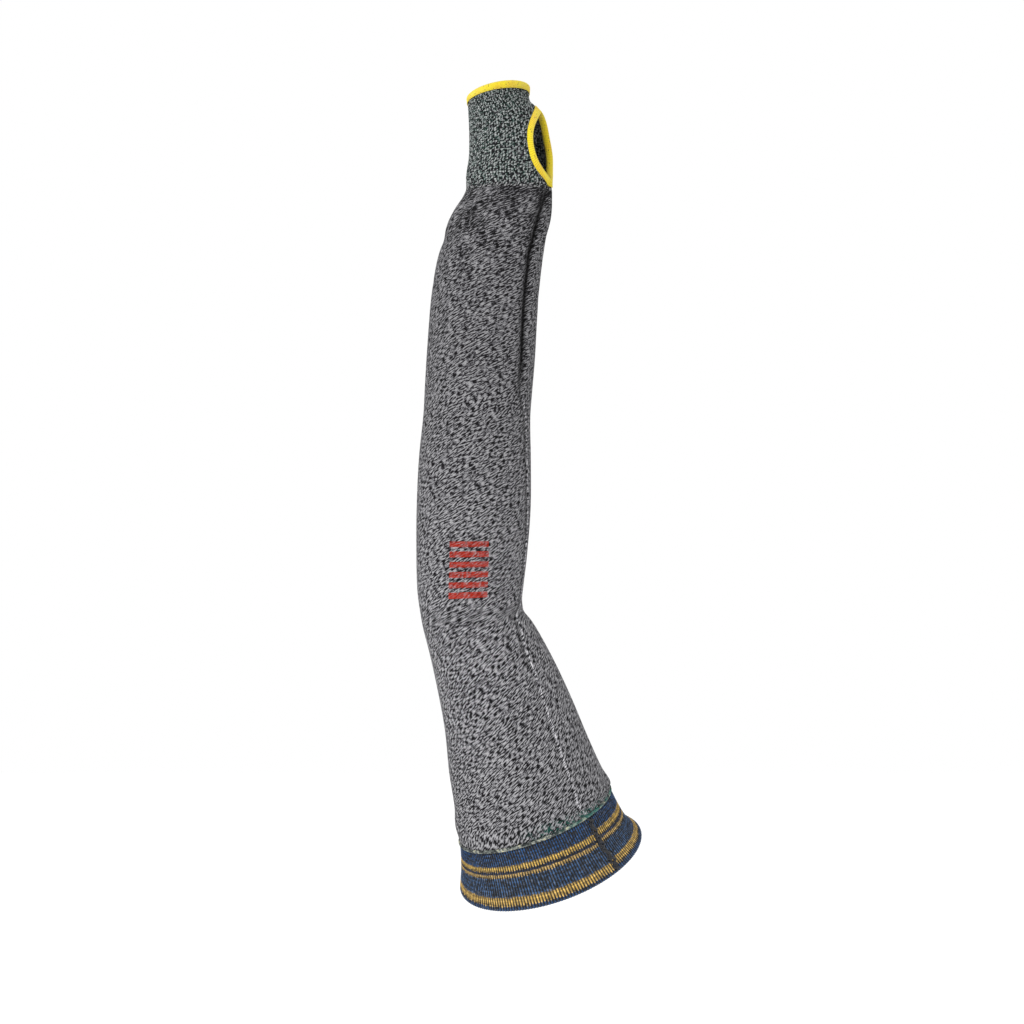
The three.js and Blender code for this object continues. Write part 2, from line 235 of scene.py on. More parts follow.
# Sections of the three lengths, as in the part's own source. Each row holds rise, side and back as shares
# of the piece's length, wide and deep as shares of its width and depth, and lean, tip and seam in degrees.
BAND_SECTIONS = [
    (0, 0, 0, 1, 1, 16, 25.5, 43),
    (0.36, -0.14, -0.25, 0.905, 0.945, 16, 18, 45),
    (0.97, -0.32, -0.6, 0.83, 0.893, 19, 15, 48),
]
BODY_SECTIONS = [
    (0.017, -0.003, -0.008, 1.457, 1.31, 15.5, 11, 54),
    (0.042, -0.01, -0.018, 1.377, 1.27, 14.4, 10, 52.5),
    (0.093, -0.025, -0.031, 1.29, 1.23, 14.6, 9, 51.5),
    (0.161, -0.042, -0.046, 1.166, 1.17, 14.3, 8, 51),
    (0.219, -0.06, -0.058, 1.075, 1.12, 13, 6, 48.5),
    (0.269, -0.078, -0.066, 0.992, 1.08, 11, 5, 43.5),
    (0.306, -0.093, -0.073, 0.929, 1.05, 8.5, 3, 29),
    (0.326, -0.098, -0.075, 0.915, 1.04, 5, 2, 15),
    (0.353, -0.099, -0.078, 0.945, 1.03, 2.2, 1, 14),
    (0.4, -0.097, -0.08, 0.984, 1.02, 1, 0.5, 15.5),
    (0.474, -0.094, -0.082, 1.014, 1.01, -0.5, 0, 19),
    (0.549, -0.092, -0.082, 0.997, 1, -1.5, -1, 22.5),
    (0.616, -0.089, -0.08, 0.952, 0.987, -3.2, -1.5, 25),
    (0.651, -0.087, -0.079, 0.955, 0.981, -3.4, -1.7, 35),
    (0.707, -0.083, -0.078, 0.964, 0.974, -3.7, -2, 39),
    (0.783, -0.078, -0.073, 0.957, 0.962, -4.8, -2.5, 40),
    (0.837, -0.072, -0.069, 0.94, 0.949, -4.9, -3, 40),
    (0.889, -0.062, -0.064, 0.909, 0.923, -3.4, -3, 38.5),
    (0.927, -0.051, -0.06, 0.885, 0.9, -2.3, -3, 36.5),
]
WRIST_SECTION = (0.961, -0.0405, -0.056, 1, 1, 0, -1, 27)
CUFF_SECTIONS = [
    (0.05, 0.002, 0.013, 0.98, 1, 0.7, -1, 22),
    (0.164, 0.001, 0.02, 0.98, 0.99, 1.3, -2, 22),
    (0.344, 0.015, 0.046, 0.957, 1.015, 2.7, -3, 22),
    (0.534, -0.002, 0.073, 0.905, 1.045, 3.8, -3.5, 22),
    (0.67, -0.026, 0.091, 0.855, 1.065, 4.8, -3.5, 22),
    (0.745, -0.056, 0.102, 0.79, 1.08, 6, -3.5, 22),
    (0.79, -0.083, 0.109, 0.73, 1.085, 7.5, -3, 22),
    (0.85, -0.093, 0.119, 0.712, 1.09, 8.8, -2.5, 22),
    (0.93, -0.095, 0.132, 0.706, 1.1, 10, -2.5, 22),
]


def place_section(row, start, length, width, depth):
    rise, side, back, wide, deep, lean, tip, seam = row
    centre = start + np.array([side, back, rise]) * length
    turns = np.radians([lean, tip, seam])
    return centre, [wide * width, deep * depth, *turns]


def place_sections():
    """Every section from the mouth to the hand: its distance along the arm and its values by name."""
    placed = [
        place_section(row, np.zeros(3), BAND_LENGTH, MOUTH_WIDTH, MOUTH_DEPTH) for row in BAND_SECTIONS]
    band_top = placed[-1][0]
    placed += [
        place_section(row, band_top, BODY_LENGTH, FOREARM_WIDTH, FOREARM_DEPTH) for row in BODY_SECTIONS]
    placed.append(place_section(WRIST_SECTION, band_top, BODY_LENGTH, WRIST_WIDTH, WRIST_DEPTH))
    wrist = placed[-1][0]
    placed += [place_section(row, wrist, CUFF_LENGTH, WRIST_WIDTH, WRIST_DEPTH) for row in CUFF_SECTIONS]
    centres = np.array([centre for centre, _ in placed])
    steps = np.linalg.norm(np.diff(centres, axis=0), axis=1)
    along = np.concatenate([[0], np.cumsum(steps)])
    values = np.hstack([centres, np.array([rest for _, rest in placed])])
    names = ("x", "y", "z", "wide", "deep", "lean", "tip", "seam")
    return along, dict(zip(names, values.T))


ALONG, SECTIONS = place_sections()
BAND_END = ALONG[len(BAND_SECTIONS) - 1]
BODY_END = ALONG[len(BAND_SECTIONS) + len(BODY_SECTIONS)]
SLEEVE_END = ALONG[-1]
BODY_RUN = BODY_END - BAND_END
CUFF_RUN = SLEEVE_END - BODY_END
CUFF_TOP = SLEEVE_END - BINDING_COVER - CLEARANCE
UNDER_WRIST_BINDING = BINDING_LENGTH - BINDING_COVER - CLEARANCE
UNDER_THUMB_BINDING = THUMB_BINDING_LENGTH - BINDING_COVER - CLEARANCE


def slopes(key):
    """How fast a value changes at each section, from its neighbours on both sides."""
    last = len(ALONG) - 1
    before = np.maximum(np.arange(last + 1) - 1, 0)
    after = np.minimum(np.arange(last + 1) + 1, last)
    return (SECTIONS[key][after] - SECTIONS[key][before]) / (ALONG[after] - ALONG[before])


SLOPES = {key: slopes(key) for key in SECTIONS}


def section(key, along):
    """A section's value at any distance along the arm, on a smooth curve through the sections."""
    index = np.clip(np.searchsorted(ALONG, along) - 1, 0, len(ALONG) - 2)
    span = ALONG[index + 1] - ALONG[index]
    share = (along - ALONG[index]) / span
    rest = 1 - share
    values = SECTIONS[key]
    curve = (1 + 2 * share) * rest ** 2 * values[index] + (3 - 2 * share) * share ** 2 * values[index + 1]
    bend = share * rest ** 2 * SLOPES[key][index] - share ** 2 * rest * SLOPES[key][index + 1]
    return curve + bend * span


def smoothstep(value, low, high):
    share = np.clip((value - low) / (high - low), 0, 1)
    return share * share * (3 - 2 * share)


def fold_strength(along):
    share = (along - BAND_END) / BODY_RUN
    wrist_fade = 1 - (1 - FOLD_LEFT_AT_WRIST) * smoothstep(share, FOLD_FADE_START, 1)
    cuff_fade = 1 - smoothstep(along, BODY_END, BODY_END + FOLD_INTO_CUFF)
    return smoothstep(share, FOLD_START, FOLD_FULL) * wrist_fade * cuff_fade


def fold_sink(along, across):
    width = np.where(across > 0, FOLD_FRONT_WIDTH, FOLD_BACK_WIDTH)
    valley = FOLD_DEPTH * np.exp(-(across / width) ** 2)
    lip = LIP_RISE * np.exp(-((across + 2 * LIP_WIDTH) / LIP_WIDTH) ** 2)
    ridge = SEAM_RISE * np.exp(-(across / SEAM_WIDTH) ** 2) * (along > BAND_END) * (along < BODY_END)
    return fold_strength(along) * (valley - lip) - (1 - fold_strength(along)) * ridge


def fold_shift(along, across):
    """How far the fold moves the knit to the front: its back lip hangs over, and all of it lies behind."""
    hang = LIP_HANG * np.exp(-((across + LIP_WIDTH) / LIP_WIDTH) ** 2)
    return fold_strength(along) * (hang - FOLD_BEHIND)


def crease_sink(along, angle):
    from_crease = (along - BAND_END - CREASE_AT * BODY_RUN) / CREASE_WIDTH
    turn = np.clip(angle / math.radians(CREASE_REACH), -1, 1)
    return CREASE_DEPTH * np.exp(-from_crease ** 2) * np.cos(turn * math.pi / 2) ** 2


def gather_sink(along, angle):
    below = np.maximum(BODY_END - along, 0) / GATHER_FADE
    fade = below * np.exp(1 - below)
    wander = GATHER_WANDER * np.sin(3 * angle + below) + angle
    return GATHER_DEPTH * fade * (0.5 + 0.5 * np.cos(GATHER_COUNT * wander)) ** 2


def skin(along, angle, outward):
    """Points by distance from the mouth, angle from the seam to the front, and height over the knit."""
    along, angle, outward = np.broadcast_arrays(along, angle, outward)
    wide, deep = section("wide", along), section("deep", along)
    lean, tip = section("lean", along), section("tip", along)
    across = angle * wide / 2
    sink = fold_sink(along, across) + crease_sink(along, angle) + gather_sink(along, angle)
    turn = section("seam", along) + angle + fold_shift(along, across) / (wide / 2)
    sideways = np.cos(turn) * (wide / 2 + outward - sink)
    frontways = np.sin(turn) * (deep / 2 + outward - sink)
    return np.stack([
        section("x", along) + sideways * np.cos(lean),
        section("y", along) - frontways * np.cos(tip),
        section("z", along) + sideways * np.sin(lean) - frontways * np.sin(tip),
    ], axis=-1)


def crowded_turn(count, crowding=0):
    """Angles once round the arm from the back, crowded towards the seam. The last closes on the first."""
    turn = np.linspace(-math.pi, math.pi, count + 1)
    return turn - crowding * np.sin(turn)


def wall_outline(start, end, rows, outside, inside, inner_rows):
    """A closed outline of a wall, as [along, outward] points: up its outer face and down its inner face."""
    outer = np.column_stack([np.linspace(start, end, rows + 1), np.full(rows + 1, outside)])
    inner = np.column_stack([np.linspace(end, start, inner_rows + 1), np.full(inner_rows + 1, inside)])
    return np.vstack([outer, inner])


def roll_outline(reach, wall, steps, proud):
    """The roll of yarn over an edge, as [reach on the fabric, outward] points, proud of it by a length."""
    half = wall / 2 + CLEARANCE + BINDING_COVER
    turn = np.linspace(0, math.pi, steps)
    tip = -CLEARANCE - proud
    deep = half * ROLL_ROUND
    crown = np.column_stack([deep + tip - deep * np.sin(turn), half * np.cos(turn) - wall / 2])
    outer = [[reach, CLEARANCE + BINDING_COVER * ROLL_EDGE]]
    inner = [[reach, -wall - CLEARANCE - BINDING_COVER * ROLL_EDGE]]
    low, high = -wall - CLEARANCE, CLEARANCE
    slot = [[reach, low], [-CLEARANCE, low], [-CLEARANCE, high], [reach, high]]
    return np.vstack([outer, crown, inner, slot])


def hole_edge(turn):
    side = np.where(np.sin(turn) > 0, THUMB_HOLE_FRONT, THUMB_HOLE_FRONT - 1)
    bulge = np.abs(np.sin(turn)) ** THUMB_HOLE_POINT * (1 + THUMB_HOLE_SKEW * np.cos(turn))
    return THUMB_HOLE_WIDTH * side * bulge, THUMB_HOLE_LENGTH * np.cos(turn) / 2


HOLE_CENTRE = BODY_END + THUMB_HOLE_AT * CUFF_RUN


def hole_angle(across):
    """Turns a distance round the cuff into an angle, by the cuff's own curve where the hole lies."""
    seam = section("seam", HOLE_CENTRE)
    side_reach = section("wide", HOLE_CENTRE) / 2 * math.sin(seam)
    front_reach = section("deep", HOLE_CENTRE) / 2 * math.cos(seam)
    return math.radians(THUMB_HOLE_TURN) + across / math.hypot(side_reach, front_reach)


def hole_points(turn, grow, outward):
    """Points beside the thumb hole's edge: grow is the distance from the edge, away from the hole."""
    step = 0.01
    ahead, behind = hole_edge(turn + step), hole_edge(turn - step)
    run = np.hypot(ahead[0] - behind[0], ahead[1] - behind[1])
    edge = hole_edge(turn)
    across = edge[0] - (ahead[1] - behind[1]) / run * grow
    up = edge[1] + (ahead[0] - behind[0]) / run * grow
    return skin(HOLE_CENTRE + up, hole_angle(across), outward)


def grid_faces(rows, columns):
    """Faces of a grid whose rows and columns both close, with each corner's row and column left open."""
    grids = np.meshgrid(np.arange(rows), np.arange(columns), indexing="ij")
    row, column = (grid.ravel()[:, None] for grid in grids)
    corner_rows = row + np.array([0, 1, 1, 0])
    corner_columns = column + np.array([0, 0, 1, 1])
    faces = corner_rows % rows * columns + corner_columns % columns
    return faces, corner_rows, corner_columns


def add_uv(mesh, name, places):
    layer = mesh.uv_layers.new(name=name)
    layer.uv.foreach_set("vector", np.ascontiguousarray(places, dtype=np.float32).ravel())


def bake_places(corner_rows, corner_columns, columns, outer_rows, rows, strips, sideways):
    """A flat map with the outer face in strips and the inner face beside them, none of them overlapping."""
    outer_share, margin = 0.72, 0.003
    face_row = corner_rows[:, :1]
    outer = face_row < outer_rows
    per_strip = columns / strips
    strip = np.floor(corner_columns[:, :1] / per_strip)
    outer_along = corner_rows / outer_rows
    outer_round = (corner_columns - strip * per_strip) / per_strip
    inner_along = (corner_rows - outer_rows) / (rows - outer_rows)
    inner_round = corner_columns / columns
    height = outer_share / strips
    wide = np.where(outer, outer_round, inner_round)
    tall = np.where(outer, outer_along, inner_along)
    if sideways:
        wide, tall = tall, wide
    low = np.where(outer, strip * height, outer_share) + margin
    room = np.where(outer, height, 1 - outer_share) - 2 * margin
    return np.stack([margin + wide * (1 - 2 * margin), low + tall * room], axis=-1)


def grid_mesh(name, points, knit, outer_rows, strips=1, sideways=False):
    """A closed mesh from a grid of points, with its stitch map and its flat map for baking."""
    rows, columns = points.shape[:2]
    faces, corner_rows, corner_columns = grid_faces(rows, columns)
    mesh = bpy.data.meshes.new(name)
    mesh.from_pydata((points.reshape(-1, 3) * MM).tolist(), [], faces.tolist())
    stitch_u = np.broadcast_to(knit[0], (rows, columns + 1))[corner_rows % rows, corner_columns]
    stitch_v = knit[1][corner_rows % rows]
    add_uv(mesh, "Stitches", np.stack([stitch_u, stitch_v], axis=-1))
    add_uv(mesh, "OFBake", bake_places(
        corner_rows, corner_columns, columns, outer_rows, rows, strips, sideways))
    mesh.polygons.foreach_set("use_smooth", [True] * len(mesh.polygons))
    return mesh


def arc_from_seam(points):
    """Distance round the arm from the seam at every point of a grid, with the closing column once more."""
    closed = np.concatenate([points, points[:, :1]], axis=1)
    steps = np.linalg.norm(np.diff(closed, axis=1), axis=2)
    arc = np.concatenate([np.zeros((len(points), 1)), np.cumsum(steps, axis=1)], axis=1)
    return arc - arc[:, points.shape[1] // 2, None]


def add_piece(name, mesh, material, slot, *nodes):
    piece = bpy.data.objects.new(name, mesh)
    bpy.context.scene.collection.objects.link(piece)
    piece.data.materials.append(material)
    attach(piece, "root")
    if nodes:
        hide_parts(*nodes)
    return piece


class Shader:
    """A material that is built up node by node. Every input may be a number or another node's output."""

    def __init__(self, name, roughness, sheen=0.0):
        self.material = bpy.data.materials.new(name)
        self.material.use_nodes = True
        self.tree = self.material.node_tree
        self.surface = self.tree.nodes["Principled BSDF"]
        self.surface.inputs["Roughness"].default_value = roughness
        self.surface.inputs["Specular IOR Level"].default_value = 0.2
        self.surface.inputs["Sheen Weight"].default_value = sheen
        self.surface.inputs["Sheen Roughness"].default_value = 0.6

    def node(self, kind, settings, inputs):
        node = self.tree.nodes.new(kind)
        for key, value in settings.items():
            setattr(node, key, value)
        for key, value in inputs.items():
            if isinstance(value, bpy.types.NodeSocket):
                self.tree.links.new(value, node.inputs[key])
            else:
                node.inputs[key].default_value = value
        return node

    def math(self, operation, *values):
        node = self.node("ShaderNodeMath", {"operation": operation}, dict(enumerate(values)))
        return node.outputs[0]

    def add(self, first, second):
        return self.math("ADD", first, second)

    def times(self, first, second):
        return self.math("MULTIPLY", first, second)

    def vector(self, x=0.0, y=0.0, z=0.0):
        return self.node("ShaderNodeCombineXYZ", {}, {0: x, 1: y, 2: z}).outputs[0]

    def stitches(self):
        uv = self.node("ShaderNodeUVMap", {"uv_map": "Stitches"}, {}).outputs[0]
        split = self.node("ShaderNodeSeparateXYZ", {}, {0: uv})
        return split.outputs[0], split.outputs[1]

    def noise(self, vector, scale, detail=1.0, roughness=0.5):
        inputs = {"Vector": vector, "Scale": scale, "Detail": detail, "Roughness": roughness}
        return self.node("ShaderNodeTexNoise", {"noise_dimensions": "3D"}, inputs).outputs[0]

    def random(self, x, y):
        inputs = {0: self.vector(x, y)}
        return self.node("ShaderNodeTexWhiteNoise", {"noise_dimensions": "3D"}, inputs).outputs[0]

    def rescale(self, value, low, high, to_low=0.0, to_high=1.0, smooth=False):
        settings = {"interpolation_type": "SMOOTHSTEP" if smooth else "LINEAR", "clamp": True}
        inputs = {0: value, 1: low, 2: high, 3: to_low, 4: to_high}
        return self.node("ShaderNodeMapRange", settings, inputs).outputs[0]

    def ramp(self, value, stops, interpolation="LINEAR"):
        node = self.node("ShaderNodeValToRGB", {}, {0: value})
        node.color_ramp.interpolation = interpolation
        elements = node.color_ramp.elements
        while len(elements) < len(stops):
            elements.new(1.0)
        for element, (place, colour) in zip(elements, stops):
            element.position = place
            element.color = linear(colour)
        return node.outputs[0]

    def mix(self, share, first, second, blend="MIX"):
        settings = {"data_type": "RGBA", "blend_type": blend}
        values = [linear(value) if isinstance(value, tuple) else value for value in (first, second)]
        return self.node("ShaderNodeMix", settings, {0: share, 6: values[0], 7: values[1]}).outputs[2]

    def shade(self, share, colour):
        """The colour times a grey."""
        grey = self.node("ShaderNodeCombineXYZ", {}, {0: share, 1: share, 2: share}).outputs[0]
        return self.mix(1.0, colour, grey, "MULTIPLY")

    def finish(self, colour, height, depth):
        self.tree.links.new(colour, self.surface.inputs["Base Color"])
        bump = self.node("ShaderNodeBump", {}, {"Height": height, "Distance": depth * MM, "Strength": 1.0})
        self.tree.links.new(bump.outputs[0], self.surface.inputs["Normal"])
        return self.material


def linear(colour):
    """A colour as the screen shows it, 0 to 255, as Blender's linear colour."""
    parts = [part / 255 for part in colour]
    return (*[part / 12.92 if part <= 0.04045 else ((part + 0.055) / 1.055) ** 2.4 for part in parts], 1.0)


def stitch_cells(shader, slant):
    """The two legs of each stitch: the leg's height, its random number, and its place in the stitch."""
    wale, course = shader.stitches()
    side = shader.math("SUBTRACT", shader.math("FRACT", wale), 0.5)
    out = shader.math("ABSOLUTE", side)
    climbed = shader.math("SUBTRACT", course, shader.times(out, slant))
    row = shader.math("FLOOR", climbed)
    within = shader.math("FRACT", climbed)
    right_leg = shader.math("GREATER_THAN", side, 0.0)
    column = shader.add(shader.math("FLOOR", wale), shader.times(right_leg, 0.5))
    across_leg = shader.math("PINGPONG", shader.times(out, 4.0), 1.0)
    along_leg = shader.math("PINGPONG", shader.times(within, 2.0), 1.0)
    rounded = shader.math("SQRT", shader.rescale(across_leg, 0.0, 1.0, 0.05, 1.0))
    height = shader.times(rounded, shader.rescale(along_leg, 0.0, 0.6, 0.45, 1.0, True))
    return height, shader.random(column, row), wale, course


def diagonal(shader, wale, course, wale_width, course_height, length, thickness, degrees):
    """Noise drawn out into short dashes that climb from left to right."""
    across = shader.times(wale, -wale_width)
    up = shader.times(course, course_height)
    cosine, sine = math.cos(math.radians(degrees)), math.sin(math.radians(degrees))
    forward = shader.add(shader.times(across, cosine / length), shader.times(up, sine / length))
    sideways = shader.add(shader.times(across, -sine / thickness), shader.times(up, cosine / thickness))
    return shader.noise(shader.vector(forward, sideways), 1.0, 0.6, 0.5)


def printed_bars(shader, wale, course, height):
    """A block of plain printed bars. The print takes on the raised stitches and misses the gaps."""
    inside = shader.times(
        shader.math("COMPARE", wale, BARS_WALE, BARS_WALES / 2),
        shader.math("COMPARE", course, BARS_COURSE, BARS_COURSES / 2))
    low = BARS_COURSE - BARS_COURSES / 2
    place = shader.math("FRACT", shader.times(shader.add(course, -low), BARS / BARS_COURSES))
    taken = shader.rescale(shader.noise(shader.vector(wale, course, 4.0), 0.9, 2.0), 0.36, 0.5, 0.55, 1.0)
    bars = shader.times(shader.times(inside, taken), shader.math("GREATER_THAN", place, BARS_GAP))
    return shader.times(bars, shader.rescale(height, 0.15, 0.6, 0.25, 0.92))


def bell(shader, across, width):
    """A smooth bump of height 1 at 0."""
    scaled = shader.math("DIVIDE", across, width)
    return shader.math("EXPONENT", shader.times(shader.times(scaled, scaled), -1.0))


def body_course(share):
    """The row at a share of the body's length."""
    return float(BAND_END + share * BODY_RUN) / BODY_COURSE


def fold_and_seam_shade(shader, wale, course):
    """A grey to multiply with: dark in the long fold, elsewhere a pale seam with soft shade in front."""
    across = shader.times(wale, BODY_WALE)
    grown = shader.rescale(course, body_course(FOLD_START), body_course(FOLD_FULL), 0.0, 1.0, True)
    fade = shader.rescale(course, body_course(FOLD_FADE_START), body_course(1), 1.0, 0.8)
    strength = shader.times(grown, fade)
    reach = shader.rescale(across, -0.1, 0.1, FOLD_BACK_SHADE, FOLD_FRONT_SHADE)
    fold = shader.times(shader.times(strength, FOLD_SHADE), bell(shader, across, reach))
    plain = shader.math("SUBTRACT", 1.0, grown)
    broken = shader.rescale(shader.noise(shader.vector(0.0, course), 0.35, 2.0), 0.3, 0.6, 0.8, 1.4)
    seen = shader.times(shader.times(plain, broken), shader.rescale(course, *SEAM_CLEAR_ROWS, 0.7, 1.0))
    line = shader.times(seen, bell(shader, across, SEAM_LINE_WIDTH))
    shaded = shader.times(plain, shader.rescale(course, *SEAM_SHADE_ROWS, 0.1, 0.5))
    before = shader.times(shaded, bell(shader, shader.add(across, -SEAM_SHADE_AT), SEAM_SHADE_WIDTH))
    dark = shader.add(1.0, shader.times(shader.add(fold, before), -1.0))
    return shader.add(dark, line)


def edge_tint(shader, wale, course):
    """Green flecks of the linking yarn over the body's lowest rows, on the thumb side."""
    flecks = shader.rescale(shader.noise(shader.vector(wale, course, 9.0), 0.8, 1.0), 0.48, 0.58, 0.0, 0.75)
    low = shader.rescale(course, *[body_course(0) + rows for rows in TINT_ROWS], 1.0, 0.0)
    side = shader.times(shader.rescale(wale, *TINT_FRONT), shader.rescale(wale, *TINT_BACK))
    return shader.times(flecks, shader.times(low, side))


def body_knit():
    shader = Shader("body_knit", 0.95)
    height, chance, wale, course = stitch_cells(shader, BODY_SLANT)
    dashes = diagonal(shader, wale, course, BODY_WALE, BODY_COURSE, *BODY_DASHES)
    patches = shader.noise(shader.vector(wale, course), 0.05, 1.0)
    # Painted shade of the gathers under the cuff: random dark blotches that grow towards the wrist
    gather_shade_noise = shader.noise(shader.vector(wale, course, 2.0), 0.11, 1.0)
    painted_gather_shade = shader.rescale(gather_shade_noise, 0.42, 0.6, -0.3, 0.06)
    near_wrist = shader.rescale(course, body_course(0.8), body_course(1), 0.0, 1.0)
    tone = shader.add(shader.times(dashes, BODY_DASH_TONE), shader.times(chance, BODY_CHANCE_TONE))
    tone = shader.add(tone, shader.rescale(patches, 0.3, 0.7, *BODY_TONE_START))
    tone = shader.add(tone, shader.times(near_wrist, painted_gather_shade))
    yarn = shader.ramp(tone, BODY_TONES)
    edged = shader.mix(edge_tint(shader, wale, course), yarn, LINK_GREEN_ON_BODY)
    printed = shader.mix(printed_bars(shader, wale, course, height), edged, BARS_RED)
    # Painted shade: the knit is darker in the gaps between its stitches
    lit = shader.shade(shader.rescale(height, 0.1, 0.8, *BODY_GAP_SHADE), printed)
    folded = shader.shade(fold_and_seam_shade(shader, wale, course), lit)
    colour = shader.shade(shader.rescale(course, *FOREARM_ROWS, ELBOW_LEVEL, FOREARM_LEVEL), folded)
    return shader.finish(colour, shader.add(height, shader.times(dashes, 0.4)), 0.5)


def from_middle(shader, value):
    """How far a value lies from the middle of its unit step, up to a half."""
    return shader.math("ABSOLUTE", shader.math("SUBTRACT", shader.math("FRACT", value), 0.5))


def cuff_knit():
    """Grey and green melange, which turns to the body's plain grey over the lowest rows."""
    shader = Shader("cuff_knit", 0.95)
    height, chance, wale, course = stitch_cells(shader, CUFF_SLANT)
    flecks = diagonal(shader, wale, course, CUFF_WALE, CUFF_COURSE, *CUFF_DASHES)
    tint = shader.noise(shader.vector(wale, course, 7.0), 0.9, 1.0)
    tone = shader.add(shader.times(flecks, CUFF_DASH_TONE), shader.times(chance, CUFF_CHANCE_TONE))
    tone = shader.add(tone, CUFF_TONE_START)
    yarn = shader.ramp(tone, CUFF_TONES)
    green = shader.mix(shader.rescale(tint, 0.52, 0.7, 0.0, 0.32), yarn, CUFF_GREEN)
    tinted = shader.mix(shader.rescale(tint, 0.42, 0.28, 0.0, 0.3), green, CUFF_MAUVE)
    plain = shader.ramp(tone, CUFF_PLAIN_TONES)
    start = shader.rescale(shader.add(course, shader.times(chance, -3.0)), -1.0, 2.0)
    mixed = shader.mix(start, plain, tinted)
    # Painted shade: dark lines in the gaps between the rib columns, darkest at every second gap, then darker
    # in the gaps between the stitches
    rib_gap_shade = shader.rescale(from_middle(shader, wale), 0.3, 0.47, 0.66, 0.24)
    second_gap_shade = shader.rescale(from_middle(shader, shader.times(wale, 0.5)), 0.36, 0.48, 1.0, 0.3)
    rib_gap_shaded = shader.shade(shader.times(rib_gap_shade, second_gap_shade), mixed)
    colour = shader.shade(shader.rescale(height, 0.1, 0.8, *CUFF_GAP_SHADE), rib_gap_shaded)
    return shader.finish(colour, shader.add(height, shader.times(flecks, 0.4)), 0.5)


def band_knit():
    """Navy rib with gold stripes. The stitch map's height runs from 0 at the mouth to 1 at the body."""
    shader = Shader("band_knit", 0.8, 0.1)
    wale, share = shader.stitches()
    rib = shader.math("PINGPONG", shader.times(wale, 2.0), 1.0)
    rows = shader.times(share, BAND_LENGTH / BAND_COURSE)
    course = shader.math("PINGPONG", shader.times(rows, 2.0), 1.0)
    chance = shader.random(shader.math("FLOOR", wale), shader.math("FLOOR", rows))
    step = shader.times(shader.math("SIGN", wale), STRIPE_STEP)
    level = shader.add(shader.add(share, step), shader.times(wale, -2 * STRIPE_STEP / BAND_WALES))
    ragged = shader.add(shader.times(rib, 0.024), shader.times(chance, 0.02))
    stripe = shader.ramp(shader.add(level, ragged), BAND_STRIPES, "CONSTANT")
    grooved = shader.ramp(level, [(place, (grey, grey, grey)) for place, grey in BAND_SHADE_LEVELS], "CONSTANT")
    loops = shader.math("PINGPONG", shader.times(share, 2 * BAND_LENGTH / LOOP_PITCH), 1.0)
    # Painted shade in the gaps between the ribs, weaker where the rows of loops cross them
    gaps = shader.times(shader.rescale(rib, 0.72, 0.5), shader.rescale(loops, 0.12, 0.4, 0.35, 1.0))
    rib_shaded = shader.mix(shader.times(grooved, gaps), stripe, BAND_SHADE_COLOUR)
    melange = shader.noise(shader.vector(wale, rows, 3.0), 1.1, 2.0)
    mixed = shader.mix(shader.rescale(melange, 0.52, 0.7, 0.0, 0.18), rib_shaded, BAND_PALE)
    lit = shader.mix(shader.rescale(chance, 0.72, 1.0, 0.0, 0.18), mixed, BAND_TAN)
    rounded = shader.rescale(rib, 0.15, 0.75, 0.0, 1.0, True)
    height = shader.times(rounded, shader.rescale(course, 0.0, 0.5, 0.6, 1.0))
    mottle = shader.rescale(shader.noise(shader.vector(wale, rows, 8.0), 0.8, 2.0), 0.38, 0.64)
    least = shader.rescale(grooved, 0.5, 0.85, 0.55, 0.1)
    grain = shader.add(least, shader.times(mottle, shader.math("SUBTRACT", 1.2, least)))
    rowed = shader.times(grain, shader.rescale(loops, 0.1, 0.6, 1.15, 0.82))
    grained = shader.shade(rowed, lit)
    # Painted shade: darker in the gaps between the stitches
    colour = shader.shade(shader.rescale(height, 0.0, 0.75, *BAND_GAP_SHADE), grained)
    return shader.finish(colour, height, 0.5)


def binding_yarn():
    shader = Shader("binding_yarn", 0.65, 0.2)
    wrap, around = shader.stitches()
    groove = shader.math("PINGPONG", shader.times(wrap, 2.0), 1.0)
    strand = shader.noise(shader.vector(shader.times(wrap, 3.0), around), 1.0, 2.0)
    worn = shader.noise(shader.vector(wrap, around, 5.0), 0.12, 1.0)
    yellow = shader.mix(shader.rescale(worn, 0.45, 0.7, 0.0, 0.7), BINDING_YELLOW, BINDING_GOLD)
    threads = shader.mix(shader.rescale(strand, 0.35, 0.65, 0.0, 0.35), yellow, BINDING_THREAD)
    level = shader.times(around, 1.1)
    pricks = shader.random(shader.math("FLOOR", wrap), shader.math("FLOOR", level))
    dot = shader.times(
        shader.math("COMPARE", shader.math("FRACT", wrap), 0.5, 0.3),
        shader.math("COMPARE", shader.math("FRACT", level), 0.5, 0.3))
    pricked = shader.times(dot, shader.rescale(pricks, 0.94, 0.945, 0.0, 0.85))
    holes = shader.mix(pricked, threads, BINDING_PRICK)
    # Painted shade: darker in the grooves between the wraps
    colour = shader.shade(shader.rescale(groove, 0.0, 0.4, *BINDING_GROOVE_SHADE), holes)
    return shader.finish(colour, shader.add(groove, shader.times(strand, 0.3)), 0.25)


def seam_yarn():
    """A plied sewing yarn, nearly black."""
    shader = Shader("seam_yarn", 0.9, 0.2)
    place = shader.node("ShaderNodeTexCoord", {}, {}).outputs["Object"]
    fibres = shader.noise(place, 900.0, 2.0)
    return shader.finish(shader.ramp(fibres, [(0.35, SEAM_DARK), (0.65, SEAM_LIGHT)]), fibres, 0.15)


